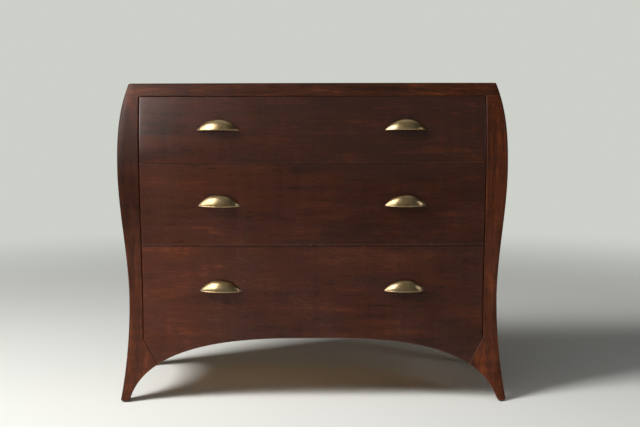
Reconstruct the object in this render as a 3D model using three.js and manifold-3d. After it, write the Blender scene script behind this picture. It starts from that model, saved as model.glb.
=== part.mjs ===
// A chest of three drawers with a bombé body: the front and both sides swell high up, draw in low down
// and sweep out again into sabre feet. All lengths are millimetres, +Z is up and the front faces -Y.
// The origin is on the floor, under the middle of the whole chest.
import * as THREE from "three";
import { mergeVertices } from "three/addons/utils/BufferGeometryUtils.js";
import Module from "manifold-3d";

const wasm = await Module();
wasm.setup();

// Overall sizes.
const height = 900;
const caseDepth = 480; // from the back to the furthest point of the front
const bulgeWidth = 1091; // across the sides where they swell most
const postWidth = 62; // across a front post where it is widest, beside the drawers

// The profile shared by the front and the sides: how far each level is set in from the fullest part.
const bulgeHeight = 665;
const waistHeight = 295;
const waistInsetDepth = 22.8;
const topInsetDepth = 31.5;
const topLeanDepth = 84; // how steeply the profile leans in at the top, over the height above the bulge
const footFlareWidth = 3.5; // how far the feet stand out past the bulge
const footSplayWidth = 53; // how steeply the feet sweep out, over the height below the waist
const frontBowDepth = 15; // how far the front bows forward in plan, between the posts

// Posts and legs.
const frontPostDepth = 100; // back of a front post, from the furthest point of the front
const rearPostDepth = 75;
const footWidth = 23; // at the floor, seen from the front
const footDepth = 33; // at the floor, seen from the side
const kneeHeight = 106; // tip of the bracket, where the drawer front ends
const cantTopHeight = 182.5; // where the bracket leaves the post
const postArrisRadius = 4; // round edge beside the drawers
const cornerArrisRadius = 9; // round outer corner of the case
const rearArrisRadius = 3;

// The arches under the front and the sides are superellipses, with these powers along and up. They would
// spring from below the floor, so they still lean where they meet it.
const archHeight = 183;
const sideArchHeight = 165;
const archSpringDepth = 120;
const archPowerShares = { along: 2.74, up: 3 };

// Case panels and rails.
const topThickness = 36.5;
const topArrisRadius = 3;
const sidePanelThickness = 18;
const backPanelThickness = 9;
const railThickness = 20;
const railDepth = 70;
const bottomRailHeight = 190; // underside of the lowest rail, hidden by the lowest drawer front
const rearRailHeight = 45;
const rearRailThickness = 20;
const runnerBearingWidth = 31; // reach of a runner inwards from the face of the post
const runnerSeatWidth = 16; // reach of a runner outwards, against the rear post
const guideHeight = 12; // upstand that keeps a drawer straight
const guideGap = 0.8; // from the line of the posts' faces to the upstand

// Glides under the feet.
const glideHeight = 4;
const glideRadius = 9;
const glideTaperWidth = 1;

// Drawers. The three fronts fill the opening, one over the other.
const upperFrontHeight = 184;
const middleFrontHeight = 229;
const frontGap = 1.2; // between two fronts, and under the top
const frontSideGap = 0.8; // between a front and a post
const frontLeastThickness = 22;
const frontArrisRadius = 1.5; // along the upper and lower edges of a front
const frontEndArrisRadius = 5.5; // down its ends
const liningThickness = 12;
const bottomThickness = 6;
const bottomRaiseHeight = 10; // from the lower edge of a drawer side to its groove
const grooveDepth = 5;
const backDropHeight = 6; // how far a drawer back stays under its sides
const drawerTopGap = 4; // over the drawer sides
const drawerEndGap = 5.7; // from the drawer backs to the rear rails
const railGap = 1.5; // from the drawer fronts to the rails behind them

// Dovetails.
const lapLength = 14; // tails in a drawer front, which stay blind
const tailFlareWidth = 2; // how much wider each side of a tail is at its end
const tailWidthShare = 0.7; // of the pitch of the tails
const tailGap = 0.2;

// Cup pulls.
const pullSpacing = 520; // between the middles of the two pulls of a drawer
const pullWidth = 118;
const pullHeight = 33;
const pullDepth = 20;
const pullWallThickness = 1.8;
const pullLipHeight = 3;
const pullLipWidth = 2; // how far the lip stands out past the bowl
const pullBossSpacing = 70;
const pullBossRadius = 3;
const pullBossHeight = 6;
const pullRiseShares = { upper: 0.584, middle: 0.562, lower: 0.574 }; // middle of a pull, up its front
const pullPowerShares = { rise: 0.85, reach: 0.7 }; // fullness of a pull, seen from the front and from above

// Clearances.
const seatGap = 0.3; // between two pieces that are glued or screwed together
const pullSeatGap = 0.45; // from the back of a pull to the curved face
const overrunLength = 5; // of every cutting block
const pullOverrunLength = 1; // of the hollow of a pull, past its back

// How fine the facets are.
const legFootSteps = 8;
const legBracketSteps = 3;
const legPostSteps = 15;
const archColumns = 8;
const frontRowHeight = 40; // of the facets on a drawer front
const sideColumns = 12;
const panelRows = 14;
const glideSides = 16;
const pullColumns = 16;
const pullRows = 5;
const bossSides = 8;
const lipCornerSteps = 2;

// Places worked out from the sizes above.
const frontY = -caseDepth / 2;
const backY = caseDepth / 2;
const halfOpening = bulgeWidth / 2 - postWidth;
const frontHalf = halfOpening - frontSideGap;
const topUnderside = height - topThickness;
const legTop = topUnderside - seatGap;
const legFoot = glideHeight + seatGap;
const frontPostBack = frontY + frontPostDepth;
const rearPostFront = backY - rearPostDepth;
// The flat inner face of every drawer front.
const liningPlane = frontY + frontBowDepth + waistInsetDepth + frontLeastThickness;
const railFront = liningPlane + railGap;
const railBack = railFront + railDepth;
const rearRailFront = backY - backPanelThickness - seatGap - rearRailThickness;
const drawerBack = rearRailFront - drawerEndGap;
const cornerEase = 1 - Math.SQRT1_2; // middle point of a round corner, as part of its radius

// The drawers from the top down, each with the levels of its front, of the top of the rail under it and
// of the top of the rail over it.
function drawerLevels() {
  const upperTop = topUnderside - frontGap;
  const upperFoot = upperTop - upperFrontHeight;
  const middleTop = upperFoot - frontGap;
  const middleFoot = middleTop - middleFrontHeight;
  const lowerTop = middleFoot - frontGap;
  const rails = [
    topUnderside - seatGap,
    (upperFoot + middleTop) / 2 + railThickness / 2,
    (middleFoot + lowerTop) / 2 + railThickness / 2,
    bottomRailHeight + railThickness,
  ];
  return [
    { name: "upper", top: upperTop, foot: upperFoot, railOver: rails[0], railTop: rails[1], tails: 3 },
    { name: "middle", top: middleTop, foot: middleFoot, railOver: rails[1], railTop: rails[2], tails: 4 },
    { name: "lower", top: lowerTop, foot: archHeight, railOver: rails[2], railTop: rails[3], tails: 4 },
  ];
}

const drawers = drawerLevels();

const materials = {
  mahogany: { color: 0x5a2a1a, roughness: 0.42, metalness: 0 },
  veneer: { color: 0x47281e, roughness: 0.4, metalness: 0 },
  lining: { color: 0xb08d62, roughness: 0.7, metalness: 0 },
  plywood: { color: 0x9c7b54, roughness: 0.75, metalness: 0 },
  brass: { color: 0x8f7440, roughness: 0.32, metalness: 1 },
  plastic: { color: 0x2a211c, roughness: 0.6, metalness: 0 },
};

// Curve through two ends, with the rise that its slope at each end would make over its whole length.
function ease(share, start, end, leaving, arriving) {
  const squared = share * share;
  const cubed = squared * share;
  const rising = 3 * squared - 2 * cubed;
  const startTurn = cubed - 2 * squared + share;
  const endTurn = cubed - squared;
  return start * (1 - rising) + end * rising + leaving * startTurn + arriving * endTurn;
}

// How far the case is set in at one level, from its fullest part.
function inset(z) {
  const overWaist = z - waistHeight;
  const overBulge = z - bulgeHeight;
  if (overWaist < 0) return ease(z / waistHeight, -footFlareWidth, waistInsetDepth, footSplayWidth, 0);
  if (overBulge < 0) return ease(overWaist / (bulgeHeight - waistHeight), waistInsetDepth, 0, 0, 0);
  return ease(overBulge / (height - bulgeHeight), 0, topInsetDepth, 0, topLeanDepth);
}

// The outer face of the sides and of the front.
function sideFace(z) {
  return bulgeWidth / 2 - inset(z);
}

function frontFace(x, z) {
  return frontY + inset(z) + frontBowDepth * (x / halfOpening) ** 2;
}

// How much of its width at the springing an arch has lost at one level, as a power of its width.
function archLoss(z, rise) {
  return ((z + archSpringDepth) / (rise + archSpringDepth)) ** archPowerShares.up;
}

// An arch that is as wide on the floor as the half span says, with its crown at the rise: half its width at
// one level, then its level at one distance from its middle.
function archHalf(z, halfSpan, rise) {
  return halfSpan * ((1 - archLoss(z, rise)) / (1 - archLoss(0, rise))) ** (1 / archPowerShares.along);
}

function archLevel(distance, halfSpan, rise) {
  const left = (1 - archLoss(0, rise)) * (Math.abs(distance) / halfSpan) ** archPowerShares.along;
  return (rise + archSpringDepth) * (1 - left) ** (1 / archPowerShares.up) - archSpringDepth;
}

// The front arch springs from the inner edges of the front feet, and the side arch from foot to foot.
const frontArchHalf = sideFace(0) - footWidth;
const footFront = frontFace(sideFace(0), 0);
const sideArchFront = footFront + footDepth;
const sideArchBack = backY - footDepth;
const sideArchMiddle = (sideArchFront + sideArchBack) / 2;
const sideArchHalf = (sideArchBack - sideArchFront) / 2;
const knee = archHalf(kneeHeight, frontArchHalf, archHeight);

// Inner edge of a leg, seen from the front: post, bracket, then the arch down to the floor.
function legInner(z) {
  if (z >= cantTopHeight) return halfOpening;
  if (z < kneeHeight) return archHalf(z, frontArchHalf, archHeight);
  return THREE.MathUtils.lerp(knee, halfOpening, (z - kneeHeight) / (cantTopHeight - kneeHeight));
}

// Inner edge of a front or rear leg, seen from the side.
function frontLegBack(z) {
  if (z >= sideArchHeight) return frontPostBack;
  return Math.min(frontPostBack, sideArchMiddle - archHalf(z, sideArchHalf, sideArchHeight));
}

function rearLegFront(z) {
  if (z >= sideArchHeight) return rearPostFront;
  return Math.max(rearPostFront, sideArchMiddle + archHalf(z, sideArchHalf, sideArchHeight));
}

// Values spread evenly from one to another, both ends included.
function spread(from, to, steps) {
  return Array.from({ length: steps + 1 }, (_, step) => THREE.MathUtils.lerp(from, to, step / steps));
}

function meshGeometry(points, triangles) {
  const geometry = new THREE.BufferGeometry();
  const numbers = points.flatMap((point) => point.toArray());
  geometry.setAttribute("position", new THREE.Float32BufferAttribute(numbers, 3));
  geometry.setIndex(triangles);
  geometry.computeVertexNormals();
  return geometry;
}

// A solid through rings of points, stacked upwards, each ring convex and anticlockwise seen from above.
function loft(rings) {
  const count = rings[0].length;
  const triangles = [];
  for (let ring = 0; ring < rings.length - 1; ring++) {
    for (let place = 0; place < count; place++) {
      const next = (place + 1) % count;
      const low = ring * count;
      const high = low + count;
      triangles.push(low + place, low + next, high + next, low + place, high + next, high + place);
    }
  }
  const last = (rings.length - 1) * count;
  for (let place = 1; place < count - 1; place++) {
    triangles.push(0, place + 1, place);
    triangles.push(last, last + place, last + place + 1);
  }
  return meshGeometry(rings.flat(), triangles);
}

// A solid between two sheets of points. The first sheet, seen from outside, has its columns running to the
// right and its rows running up; the second lies behind it, point for point.
function slab(outer, inner) {
  const columns = outer.length;
  const rows = outer[0].length;
  const behind = columns * rows;
  const at = (column, row) => column * rows + row;
  const triangles = [];
  const quad = (a, b, c, d) => triangles.push(a, b, c, a, c, d);
  for (let column = 0; column < columns - 1; column++) {
    for (let row = 0; row < rows - 1; row++) {
      const corners = [at(column, row), at(column + 1, row), at(column + 1, row + 1), at(column, row + 1)];
      quad(...corners);
      quad(...corners.map((corner) => corner + behind).reverse());
    }
  }
  const wall = (from, to) => quad(to, from, from + behind, to + behind);
  for (let column = 0; column < columns - 1; column++) {
    wall(at(column, 0), at(column + 1, 0));
    wall(at(column + 1, rows - 1), at(column, rows - 1));
  }
  for (let row = 0; row < rows - 1; row++) {
    wall(at(columns - 1, row), at(columns - 1, row + 1));
    wall(at(0, row + 1), at(0, row));
  }
  return meshGeometry([...outer.flat(), ...inner.flat()], triangles);
}

// A block between two opposite corners.
function block(low, high) {
  const geometry = new THREE.BoxGeometry(high[0] - low[0], high[1] - low[1], high[2] - low[2]);
  return geometry.translate((low[0] + high[0]) / 2, (low[1] + high[1]) / 2, (low[2] + high[2]) / 2);
}

// The same piece on the other side of the chest.
function mirrored(geometry) {
  const copy = geometry.clone().scale(-1, 1, 1);
  const index = copy.index.array;
  for (let place = 0; place < index.length; place += 3) {
    [index[place], index[place + 1]] = [index[place + 1], index[place]];
  }
  copy.computeVertexNormals();
  return copy;
}

// Geometry to a solid that can be cut and joined, and back.
function solid(geometry) {
  const bare = geometry.clone();
  bare.deleteAttribute("normal");
  bare.deleteAttribute("uv");
  const merged = mergeVertices(bare);
  const mesh = new wasm.Mesh({
    numProp: 3,
    vertProperties: merged.attributes.position.array,
    triVerts: new Uint32Array(merged.index.array),
  });
  return new wasm.Manifold(mesh);
}

function fromSolid(made) {
  const mesh = made.getMesh();
  const geometry = new THREE.BufferGeometry();
  geometry.setAttribute("position", new THREE.BufferAttribute(mesh.vertProperties, 3));
  geometry.setIndex(new THREE.BufferAttribute(mesh.triVerts, 1));
  geometry.computeVertexNormals();
  return geometry;
}

function cut(geometry, cutters) {
  return fromSolid(cutters.reduce((made, cutter) => made.subtract(solid(cutter)), solid(geometry)));
}

// Three points round a corner, from the edge that arrives to the edge that leaves.
function roundCorner(x, y, z, arriving, leaving, radius) {
  const blend = radius * cornerEase;
  return [
    new THREE.Vector3(x + arriving[0] * radius, y + arriving[1] * radius, z),
    new THREE.Vector3(x + (arriving[0] + leaving[0]) * blend, y + (arriving[1] + leaving[1]) * blend, z),
    new THREE.Vector3(x + leaving[0] * radius, y + leaving[1] * radius, z),
  ];
}

// Levels of a leg's rings: close over the foot, then the bracket, then the post.
function legLevels() {
  return [
    ...spread(legFoot, kneeHeight, legFootSteps),
    ...spread(kneeHeight, cantTopHeight, legBracketSteps).slice(1),
    ...spread(cantTopHeight, legTop, legPostSteps).slice(1),
  ];
}

// Right front leg: its face follows the bow and the profile of the front.
function frontLeg() {
  return loft(
    legLevels().map((z) => {
      const inner = legInner(z);
      const outer = sideFace(z);
      const back = frontLegBack(z);
      return [
        new THREE.Vector3(inner, back, z),
        ...roundCorner(inner, frontFace(inner, z), z, [0, 1], [1, 0], postArrisRadius),
        ...roundCorner(outer, frontFace(outer, z), z, [-1, 0], [0, 1], cornerArrisRadius),
        new THREE.Vector3(outer, back, z),
      ];
    }),
  );
}

// Right rear leg: it has no bracket, since no drawer front meets it, and its back is flat.
function rearLeg() {
  return loft(
    legLevels().map((z) => {
      const inner = z < kneeHeight ? Math.max(halfOpening, legInner(z)) : halfOpening;
      const outer = sideFace(z);
      const front = rearLegFront(z);
      return [
        new THREE.Vector3(inner, backY, z),
        new THREE.Vector3(inner, front, z),
        new THREE.Vector3(outer, front, z),
        ...roundCorner(outer, backY, z, [0, -1], [-1, 0], rearArrisRadius),
      ];
    }),
  );
}

function glide(x, y) {
  const footRadius = glideRadius - glideTaperWidth;
  const geometry = new THREE.CylinderGeometry(glideRadius, footRadius, glideHeight, glideSides);
  return geometry.rotateX(Math.PI / 2).translate(x, y, glideHeight / 2);
}

// Right side panel: an even thickness that follows the swell, arched along its foot.
function sidePanel() {
  const rowsOf = (y) => {
    const foot = archLevel(y - sideArchMiddle, sideArchHalf, sideArchHeight);
    return spread(foot, legTop, panelRows).map((z) => [y, z]);
  };
  const places = spread(frontPostBack + seatGap, rearPostFront - seatGap, sideColumns).map(rowsOf);
  const point = (depth, [y, z]) => new THREE.Vector3(sideFace(z) - depth, y, z);
  const sheet = (depth) => places.map((column) => column.map((place) => point(depth, place)));
  return slab(sheet(0), sheet(sidePanelThickness));
}

// The top carries the profile of the case up through its own thick edge.
function topPanel() {
  const shoulder = height - topArrisRadius;
  const easedRise = shoulder + topArrisRadius * Math.SQRT1_2;
  const edges = [
    [topUnderside, 0],
    [(topUnderside + shoulder) / 2, 0],
    [shoulder, 0],
    [easedRise, topArrisRadius * cornerEase],
    [height, topArrisRadius],
  ];
  const ring = ([z, drawnIn]) => {
    const side = sideFace(z) - drawnIn;
    const front = (x) => frontFace(x, z) + drawnIn;
    const along = spread(-side + cornerArrisRadius, side - cornerArrisRadius, 2 * archColumns).slice(1, -1);
    return [
      new THREE.Vector3(-side, backY, z),
      ...roundCorner(-side, front(side), z, [0, 1], [1, 0], cornerArrisRadius),
      ...along.map((x) => new THREE.Vector3(x, front(x), z)),
      ...roundCorner(side, front(side), z, [-1, 0], [0, 1], cornerArrisRadius),
      new THREE.Vector3(side, backY, z),
    ];
  };
  return loft(edges.map(ring));
}

// A rail across the front, behind the drawer fronts, with its upper face at the level given.
function frontRail(top) {
  const reach = halfOpening - seatGap;
  return block([-reach, railFront, top - railThickness], [reach, railBack, top]);
}

function rearRail(low) {
  const reach = halfOpening - seatGap;
  const back = rearRailFront + rearRailThickness;
  return block([-reach, rearRailFront, low], [reach, back, low + rearRailHeight]);
}

function backPanel() {
  const reach = halfOpening - seatGap;
  return block([-reach, backY - backPanelThickness, bottomRailHeight], [reach, backY, legTop]);
}

// Right runner, from the rail to the rear post, with the upstand that guides the drawer beside it.
function runner(top) {
  const rear = rearPostFront - seatGap;
  const front = railBack + seatGap;
  const inner = halfOpening - runnerBearingWidth;
  const guide = halfOpening + guideGap;
  const outer = halfOpening + runnerSeatWidth;
  const outline = new THREE.Shape();
  outline.moveTo(inner, top - railThickness);
  outline.lineTo(outer, top - railThickness);
  outline.lineTo(outer, top + guideHeight);
  outline.lineTo(guide, top + guideHeight);
  outline.lineTo(guide, top);
  outline.lineTo(inner, top);
  outline.closePath();
  return alongDepth(outline, front, rear);
}

// An outline in X and Z, drawn out from one depth to another.
function alongDepth(outline, from, to) {
  const geometry = new THREE.ExtrudeGeometry(outline, { depth: to - from, bevelEnabled: false });
  return mergeVertices(geometry.rotateX(Math.PI / 2).translate(0, to, 0));
}

// An outline in Y and Z, drawn out from one place across to another.
function across(outline, from, to) {
  const geometry = new THREE.ExtrudeGeometry(outline, { depth: to - from, bevelEnabled: false });
  geometry.rotateX(Math.PI / 2).rotateZ(Math.PI / 2);
  return geometry.translate(from, 0, 0);
}

// Right kicker, which keeps the upper drawer level when it is out.
function kicker() {
  const top = topUnderside - seatGap;
  const inner = halfOpening - runnerBearingWidth;
  const outer = halfOpening + runnerSeatWidth;
  return block([inner, railBack + seatGap, top - railThickness], [outer, rearPostFront - seatGap, top]);
}

// Lower edge of the lowest drawer front: the arch, then up along the bracket, a gap away from it.
function lowerEdge(x) {
  const run = halfOpening - knee;
  const rise = cantTopHeight - kneeHeight;
  const gapUp = frontSideGap * Math.hypot(run, rise) / run;
  const bracket = kneeHeight + gapUp + ((Math.abs(x) - knee) * rise) / run;
  return Math.max(archLevel(x, frontArchHalf, archHeight), bracket);
}

// Levels up a front, close at both ends where its edges are round.
function frontRows(from, to, steps) {
  const blend = frontArrisRadius * cornerEase;
  const flat = spread(from + frontArrisRadius, to - frontArrisRadius, steps);
  return [from, from + blend, ...flat, to - blend, to];
}

// How far the face falls back towards a round edge, by place along a list of positions.
function edgeFall(place, count, radius) {
  const fromEdge = Math.min(place, count - 1 - place);
  return [radius, radius * cornerEase, 0][Math.min(fromEdge, 2)];
}

// Tails between two levels: the middle of each, and half its width at the shoulder and at its end.
function tails(low, high, count) {
  const pitch = (high - low) / count;
  const half = (pitch * tailWidthShare) / 2;
  return Array.from({ length: count }, (_, tail) => {
    const middle = low + pitch * (tail + 1 / 2);
    return { middle, root: half - tailFlareWidth, tip: half };
  });
}

// One end of a drawer side, from its low to its high edge, as points in Y and Z.
function tailEdge(list, shoulder, tip) {
  return list.flatMap(({ middle, root, tip: wide }) => [
    [shoulder, middle - root],
    [tip, middle - wide],
    [tip, middle + wide],
    [shoulder, middle + root],
  ]);
}

// Levels of a drawer's own box.
function boxLevels(drawer) {
  const low = drawer.railTop + seatGap;
  const high = drawer.railOver - railThickness - drawerTopGap;
  const bottomTop = low + bottomRaiseHeight + bottomThickness;
  return { low, high, bottomTop, backLow: bottomTop + seatGap, backHigh: high - backDropHeight };
}

function frontTails(drawer) {
  const { low, high } = boxLevels(drawer);
  return tails(low, high, drawer.tails);
}

function backTails(drawer) {
  const { backLow, backHigh } = boxLevels(drawer);
  return tails(backLow, backHigh, drawer.tails);
}

// Blocks that cut the sockets for a set of tails, in both ends of a board.
function sockets(list, shoulder, tip) {
  const toTip = Math.sign(tip - shoulder);
  return list.flatMap(({ middle, root, tip: wide }) => {
    const slope = (wide - root) / Math.abs(tip - shoulder);
    const mouth = root + tailGap - slope * overrunLength;
    const end = wide + tailGap + slope * seatGap;
    const outline = new THREE.Shape();
    outline.moveTo(shoulder - toTip * overrunLength, middle - mouth);
    outline.lineTo(tip + toTip * seatGap, middle - end);
    outline.lineTo(tip + toTip * seatGap, middle + end);
    outline.lineTo(shoulder - toTip * overrunLength, middle + mouth);
    outline.closePath();
    const inner = frontHalf - liningThickness - seatGap;
    const right = mergeVertices(across(outline, inner, frontHalf + overrunLength));
    return [right, mirrored(right)];
  });
}

// A drawer front: bowed and swelling outside, flat inside, with blind sockets and a groove for the bottom.
function drawerFront(drawer) {
  const lowest = drawer.name === "lower" ? lowerEdge : () => drawer.foot;
  const kneeColumn = knee - frontSideGap;
  const drawnIn = [0, frontEndArrisRadius * cornerEase, frontEndArrisRadius];
  const ends = drawnIn.map((depth) => frontHalf - depth);
  const middle = spread(-kneeColumn, kneeColumn, 2 * archColumns);
  const columns = [...ends.map((x) => -x), ...middle, ...ends.reverse()];
  const steps = Math.round((drawer.top - lowest(0)) / frontRowHeight);
  const sheetAt = (depthOf) =>
    columns.map((x, column) => {
      const rows = frontRows(lowest(x), drawer.top, steps);
      const endFall = edgeFall(column, columns.length, frontEndArrisRadius);
      return rows.map((z, row) => {
        const fall = Math.max(endFall, edgeFall(row, rows.length, frontArrisRadius));
        return new THREE.Vector3(x, depthOf(x, z, fall), z);
      });
    });
  const outer = sheetAt((x, z, fall) => frontFace(x, z) + fall);
  const inner = sheetAt(() => liningPlane + overrunLength);
  const { low } = boxLevels(drawer);
  const grooveHalf = frontHalf - liningThickness + grooveDepth + seatGap;
  const grooveLow = low + bottomRaiseHeight - seatGap;
  const grooveHigh = grooveLow + bottomThickness + 2 * seatGap;
  const behind = block(
    [-halfOpening, liningPlane, kneeHeight - overrunLength],
    [halfOpening, liningPlane + 2 * overrunLength, height],
  );
  const groove = block(
    [-grooveHalf, liningPlane - grooveDepth - seatGap, grooveLow],
    [grooveHalf, liningPlane + overrunLength, grooveHigh],
  );
  const blind = sockets(frontTails(drawer), liningPlane, liningPlane - lapLength);
  return cut(slab(outer, inner), [behind, groove, ...blind]);
}

// Right side of a drawer, with tails at both ends and a groove for the bottom.
function drawerSide(drawer) {
  const { low, high, backLow, backHigh } = boxLevels(drawer);
  const shoulder = liningPlane + seatGap;
  const backShoulder = drawerBack - liningThickness - seatGap;
  const frontEdge = tailEdge(frontTails(drawer), shoulder, liningPlane - lapLength);
  const rearEdge = tailEdge(backTails(drawer), backShoulder, drawerBack);
  const points = [
    [shoulder, low],
    [drawerBack, low],
    [drawerBack, backLow - seatGap],
    [backShoulder, backLow - seatGap],
    ...rearEdge,
    [backShoulder, backHigh + seatGap],
    [drawerBack, backHigh + seatGap],
    [drawerBack, high],
    [shoulder, high],
    ...frontEdge.reverse(),
  ];
  const outline = new THREE.Shape(points.map(([y, z]) => new THREE.Vector2(y, z)));
  const inner = frontHalf - liningThickness;
  const board = mergeVertices(across(outline, inner, frontHalf));
  const grooveLow = low + bottomRaiseHeight - seatGap;
  const groove = block(
    [inner - overrunLength, liningPlane - lapLength - overrunLength, grooveLow],
    [inner + grooveDepth + seatGap, drawerBack + overrunLength, grooveLow + bottomThickness + 2 * seatGap],
  );
  return cut(board, [groove]);
}

function drawerBackBoard(drawer) {
  const { backLow, backHigh } = boxLevels(drawer);
  const face = drawerBack - liningThickness;
  const board = block([-frontHalf, face, backLow], [frontHalf, drawerBack, backHigh]);
  return cut(board, sockets(backTails(drawer), face, drawerBack));
}

function drawerBottom(drawer) {
  const { low, bottomTop } = boxLevels(drawer);
  const reach = frontHalf - liningThickness + grooveDepth;
  return block([-reach, liningPlane - grooveDepth, low + bottomRaiseHeight], [reach, drawerBack, bottomTop]);
}

// Sections of a pull from its left to its right end, close together near the ends: the place of each along
// half the width, and the shares of the rise and of the reach that it has there.
function pullSections() {
  const turns = spread(-Math.PI / 2, Math.PI / 2, pullColumns).slice(1, -1);
  return turns.map((turn) => {
    const fullness = Math.cos(turn) ** 2;
    return {
      alongShare: Math.sin(turn),
      riseShare: fullness ** pullPowerShares.rise,
      reachShare: fullness ** pullPowerShares.reach,
    };
  });
}

// A quarter dome standing on its lip: a low arch against the drawer, and a bow seen from above.
function dome(halfWidth, reach, rise, lowest) {
  const sections = pullSections().map(({ alongShare, riseShare, reachShare }) => {
    const out = reach * reachShare;
    const up = rise * riseShare;
    const turns = spread(0, Math.PI / 2, pullRows).slice(0, -1);
    const curve = turns.map((turn) => [-out * Math.cos(turn), up * Math.sin(turn)]);
    const outline = [[0, lowest], [-out, lowest], ...curve, [0, up]];
    return outline.map(([y, z]) => new THREE.Vector3(halfWidth * alongShare, y, z));
  });
  const count = sections[0].length;
  const triangles = [];
  for (let column = 0; column < sections.length - 1; column++) {
    for (let place = 0; place < count; place++) {
      const next = (place + 1) % count;
      const left = column * count;
      const right = left + count;
      triangles.push(left + place, right + place, right + next, left + place, right + next, left + next);
    }
  }
  const last = (sections.length - 1) * count;
  for (let place = 1; place < count - 1; place++) {
    triangles.push(0, place, place + 1);
    triangles.push(last, last + place + 1, last + place);
  }
  return meshGeometry(sections.flat(), triangles);
}

// The flat lip round the foot of the bowl, which runs out into a point at each end.
function lip() {
  const half = pullWidth / 2;
  const reach = pullDepth + pullLipWidth;
  const outline = new THREE.Shape();
  outline.moveTo(-half, 0);
  outline.quadraticCurveTo(-half, -pullLipWidth, -half + pullLipWidth, -pullLipWidth);
  const bowlHalf = half - pullLipWidth;
  for (const { alongShare, reachShare } of pullSections()) {
    outline.lineTo(bowlHalf * alongShare, -reach * reachShare);
  }
  outline.lineTo(half - pullLipWidth, -pullLipWidth);
  outline.quadraticCurveTo(half, -pullLipWidth, half, 0);
  outline.closePath();
  const settings = { depth: pullLipHeight, bevelEnabled: false, curveSegments: lipCornerSteps };
  return new THREE.ExtrudeGeometry(outline, settings).translate(0, 0, -pullLipHeight / 2);
}

// A cup pull in its own frame: its back on the plane y = 0, its lip round the origin, two bosses for
// its screws.
function cupPull() {
  const half = pullWidth / 2 - pullLipWidth;
  const rise = pullHeight - pullLipHeight / 2;
  const outerBowl = solid(dome(half, pullDepth, rise, 0));
  const innerHalf = half - pullWallThickness;
  const innerReach = pullDepth - pullWallThickness;
  const innerBowl = solid(dome(innerHalf, innerReach, rise - pullWallThickness, 0));
  const lowerCut = solid(dome(innerHalf, innerReach, pullWallThickness, -pullLipHeight));
  let pull = outerBowl.add(solid(lip()));
  for (const hollow of [innerBowl, lowerCut]) {
    pull = pull.subtract(hollow).subtract(hollow.translate([0, pullOverrunLength, 0]));
  }
  for (const side of [-1, 1]) {
    const boss = new THREE.CylinderGeometry(pullBossRadius, pullBossRadius, pullDepth, bossSides);
    boss.translate((side * pullBossSpacing) / 2, -pullDepth / 2, pullBossHeight);
    pull = pull.add(solid(boss).intersect(outerBowl));
  }
  return fromSolid(pull);
}

// A pull lies along the face of its drawer: square to the slope and the bow where it sits.
function placePull(mesh, side, z) {
  const x = (side * pullSpacing) / 2;
  const on = (aside, up) => new THREE.Vector3(x + aside, frontFace(x + aside, z + up), z + up);
  const right = on(pullWidth / 2, 0).sub(on(-pullWidth / 2, 0)).normalize();
  const up = on(0, pullHeight / 2).sub(on(0, -pullHeight / 2)).normalize();
  const inward = new THREE.Vector3().crossVectors(up, right).normalize();
  const level = new THREE.Vector3().crossVectors(right, inward);
  mesh.quaternion.setFromRotationMatrix(new THREE.Matrix4().makeBasis(right, inward, level));
  mesh.position.copy(on(0, 0)).addScaledVector(inward, -pullSeatGap).addScaledVector(level, -pullHeight / 2);
}

const chest = new THREE.Group();
chest.name = "chest_of_drawers";

function addPiece(group, name, geometry, finish) {
  const material = new THREE.MeshStandardMaterial({ ...materials[finish], name: finish });
  const mesh = new THREE.Mesh(geometry, material);
  mesh.name = name;
  group.add(mesh);
  return mesh;
}

function addPair(group, name, right, finish) {
  addPiece(group, name + "_left", mirrored(right), finish);
  addPiece(group, name + "_right", right, finish);
}

function buildCase() {
  const body = new THREE.Group();
  addPiece(body, "top_panel", topPanel(), "mahogany");
  addPair(body, "front_leg", frontLeg(), "mahogany");
  addPair(body, "rear_leg", rearLeg(), "mahogany");
  addPair(body, "side_panel", sidePanel(), "veneer");
  addPiece(body, "back_panel", backPanel(), "plywood");
  addPiece(body, "rear_rail_top", rearRail(legTop - rearRailHeight), "lining");
  addPiece(body, "rear_rail_bottom", rearRail(bottomRailHeight), "lining");
  addPiece(body, "front_rail_top", frontRail(drawers[0].railOver), "mahogany");
  addPair(body, "kicker", kicker(), "lining");
  for (const drawer of drawers) {
    addPiece(body, "rail_under_" + drawer.name + "_drawer", frontRail(drawer.railTop), "mahogany");
    addPair(body, "runner_" + drawer.name, runner(drawer.railTop), "lining");
  }
  const footX = frontArchHalf + footWidth / 2;
  addPair(body, "front_glide", glide(footX, footFront + footDepth / 2), "plastic");
  addPair(body, "rear_glide", glide(footX, backY - footDepth / 2), "plastic");
  return body;
}

function buildDrawer(drawer) {
  const body = new THREE.Group();
  const named = (piece) => "drawer_" + drawer.name + "_" + piece;
  addPiece(body, named("front"), drawerFront(drawer), "veneer");
  addPair(body, named("side"), drawerSide(drawer), "lining");
  addPiece(body, named("back"), drawerBackBoard(drawer), "lining");
  addPiece(body, named("bottom"), drawerBottom(drawer), "plywood");
  const pullLevel = THREE.MathUtils.lerp(drawer.foot, drawer.top, pullRiseShares[drawer.name]);
  const pull = cupPull();
  placePull(addPiece(body, named("pull_left"), pull, "brass"), -1, pullLevel);
  placePull(addPiece(body, named("pull_right"), pull, "brass"), 1, pullLevel);
  return body;
}

chest.add(buildCase());
for (const drawer of drawers) chest.add(buildDrawer(drawer));

// The middle of the whole chest, pulls included, stands over the origin.
const extent = new THREE.Box3().setFromObject(chest, true);
chest.position.y = -(extent.min.y + extent.max.y) / 2;

export default chest;
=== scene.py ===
"""A bombé chest of three drawers in mahogany with brass cup pulls, dressed for a plain studio picture.

Lengths are metres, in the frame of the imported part: +Z is up and the front faces -Y.
"""
import math

import bpy
from mathutils import Matrix, Vector


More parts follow.
